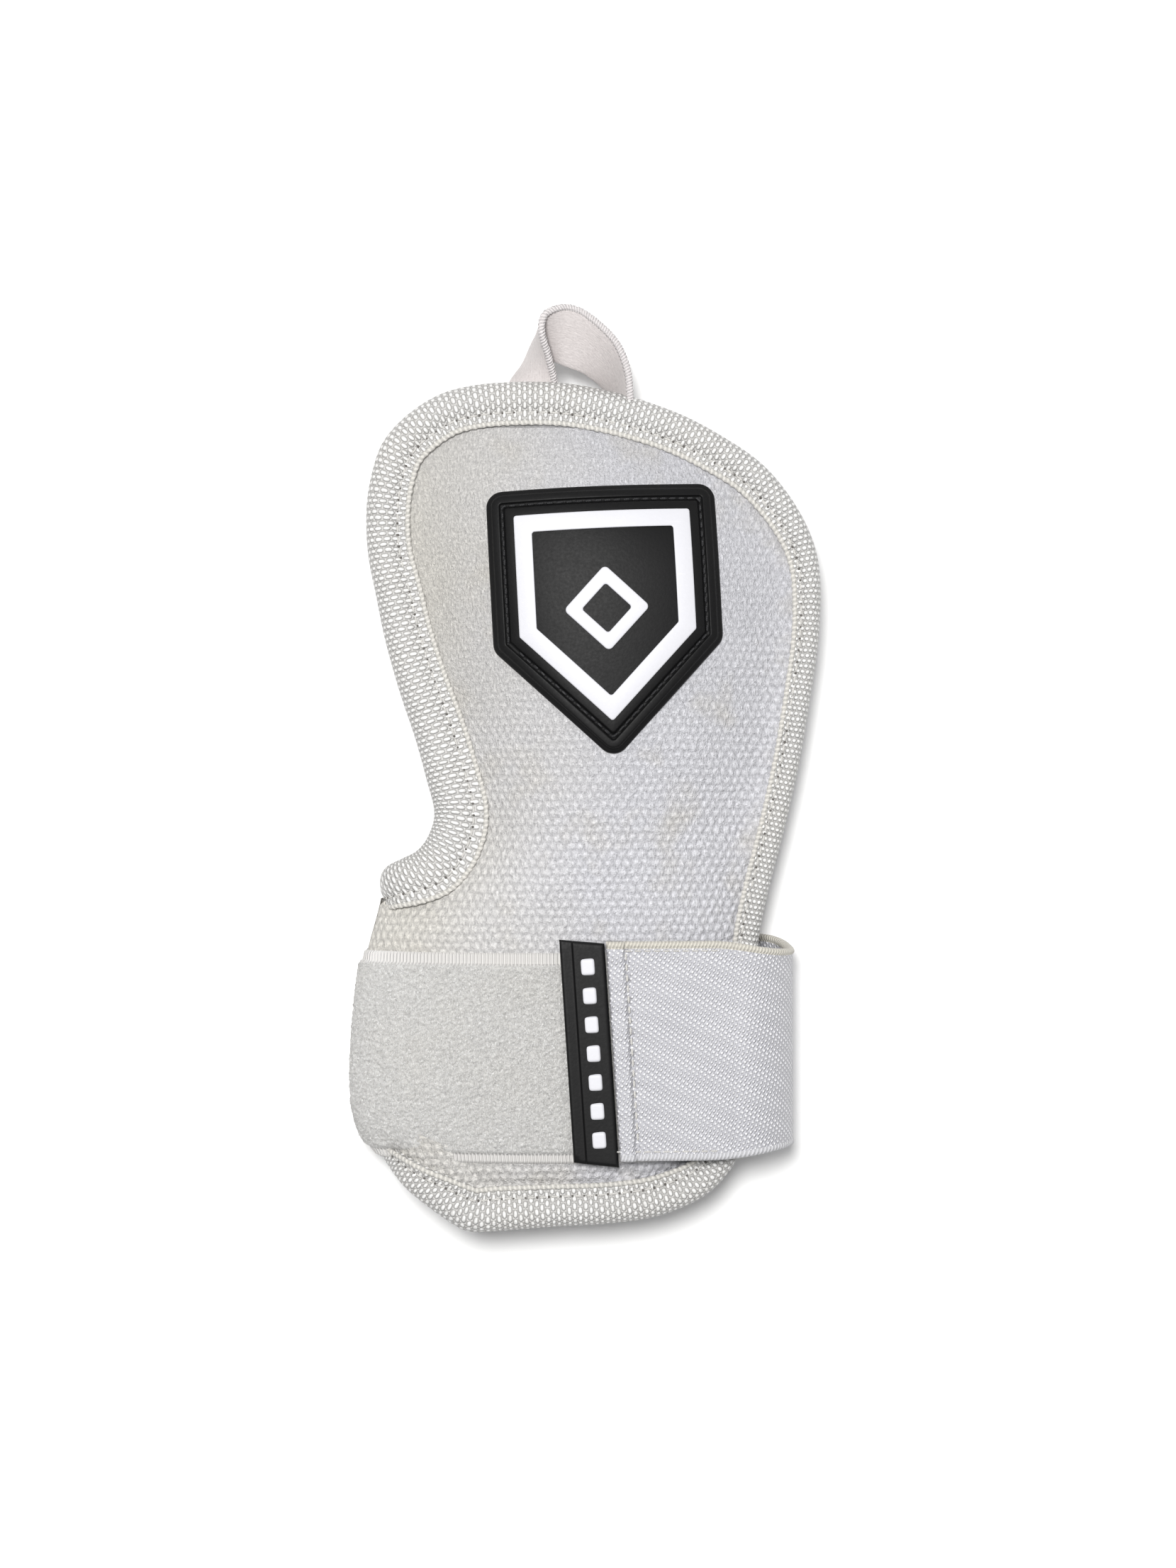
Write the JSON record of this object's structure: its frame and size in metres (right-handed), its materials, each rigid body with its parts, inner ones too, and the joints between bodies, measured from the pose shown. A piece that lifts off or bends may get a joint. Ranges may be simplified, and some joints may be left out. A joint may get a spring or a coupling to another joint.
{
  "type": "sliding mitt",
  "caption": "Padded hand guard worn while sliding into a base, with a bound edge, stiff guard plates and an elastic wrist strap that closes on a pile panel.",
  "frame": {"origin": "on the flat palm face the mitt rests on, below the middle of the hand", "axes": "+Y to the fingertips, +X to the little finger, +Z out of the back of the hand"},
  "size_m": [0.1527, 0.293, 0.0489],
  "materials": {
    "knit_fabric": "matte off-white knit with light wear",
    "webbing": "satin off-white woven edge tape",
    "pile": "fuzzy white pile",
    "elastic": "grey-white woven elastic",
    "loop_elastic": "soft light-grey elastic",
    "lining": "brushed light-grey lining",
    "thread": "cream sewing thread",
    "hook": "moulded hooks",
    "foam": "closed-cell foam",
    "guard_plastic": "smooth plastic sheet",
    "black_rubber": "satin moulded rubber",
    "white_rubber": "satin moulded rubber"
  },
  "bodies": {
    "mitt": {"dorsal_cover": "knit_fabric", "palm_cover": "knit_fabric", "cuff_dorsal_cover": "knit_fabric", "cuff_palm_cover": "knit_fabric", "cuff_side_wrap": "knit_fabric", "dorsal_foam": "foam", "palm_foam": "foam", "cuff_dorsal_foam": "foam", "cuff_palm_foam": "foam", "dorsal_plate": "guard_plastic", "palm_plate": "guard_plastic", "dorsal_lining": "lining", "palm_lining": "lining", "cuff_dorsal_lining": "lining", "cuff_palm_lining": "lining", "finger_binding": "webbing", "thumb_hole_binding": "webbing", "cuff_dorsal_binding": "webbing", "cuff_palm_binding": "webbing", "binding_seam": "thread", "loop_panel": "pile", "strap_anchor": "elastic", "badge_base": "black_rubber", "badge_stitching": "thread", "badge_inlay": "white_rubber", "hang_loop_tack": "webbing"},
    "strap": {"wrist_strap": "elastic", "strap_edge_trim": "thread", "strap_hem": "elastic", "hook_patch": "hook"},
    "tab": {"pull_tab": "black_rubber", "tab_grip_bars": "white_rubber"},
    "loop": {"hang_loop": "loop_elastic"}
  },
  "joints": [
    {"name": "strap_peel", "type": "hinge", "parent": "mitt", "child": "strap", "pos_m": [0.04675, -0.078, 0.04], "axis": [0, 1, 0], "range_deg": [0, 165]},
    {"name": "tab_lift", "type": "hinge", "parent": "strap", "child": "tab", "pos_m": [0.00855, -0.078, 0.0435], "axis": [-0.0656, 0.9978, 0], "range_deg": [0, 60], "stiffness_Nm_per_rad": 0.01},
    {"name": "loop_fold", "type": "hinge", "parent": "mitt", "child": "loop", "pos_m": [-0.0015, 0.1362, 0.0215], "axis": [1, 0, 0], "range_deg": [-45, 45], "stiffness_Nm_per_rad": 0.01}
  ]
}
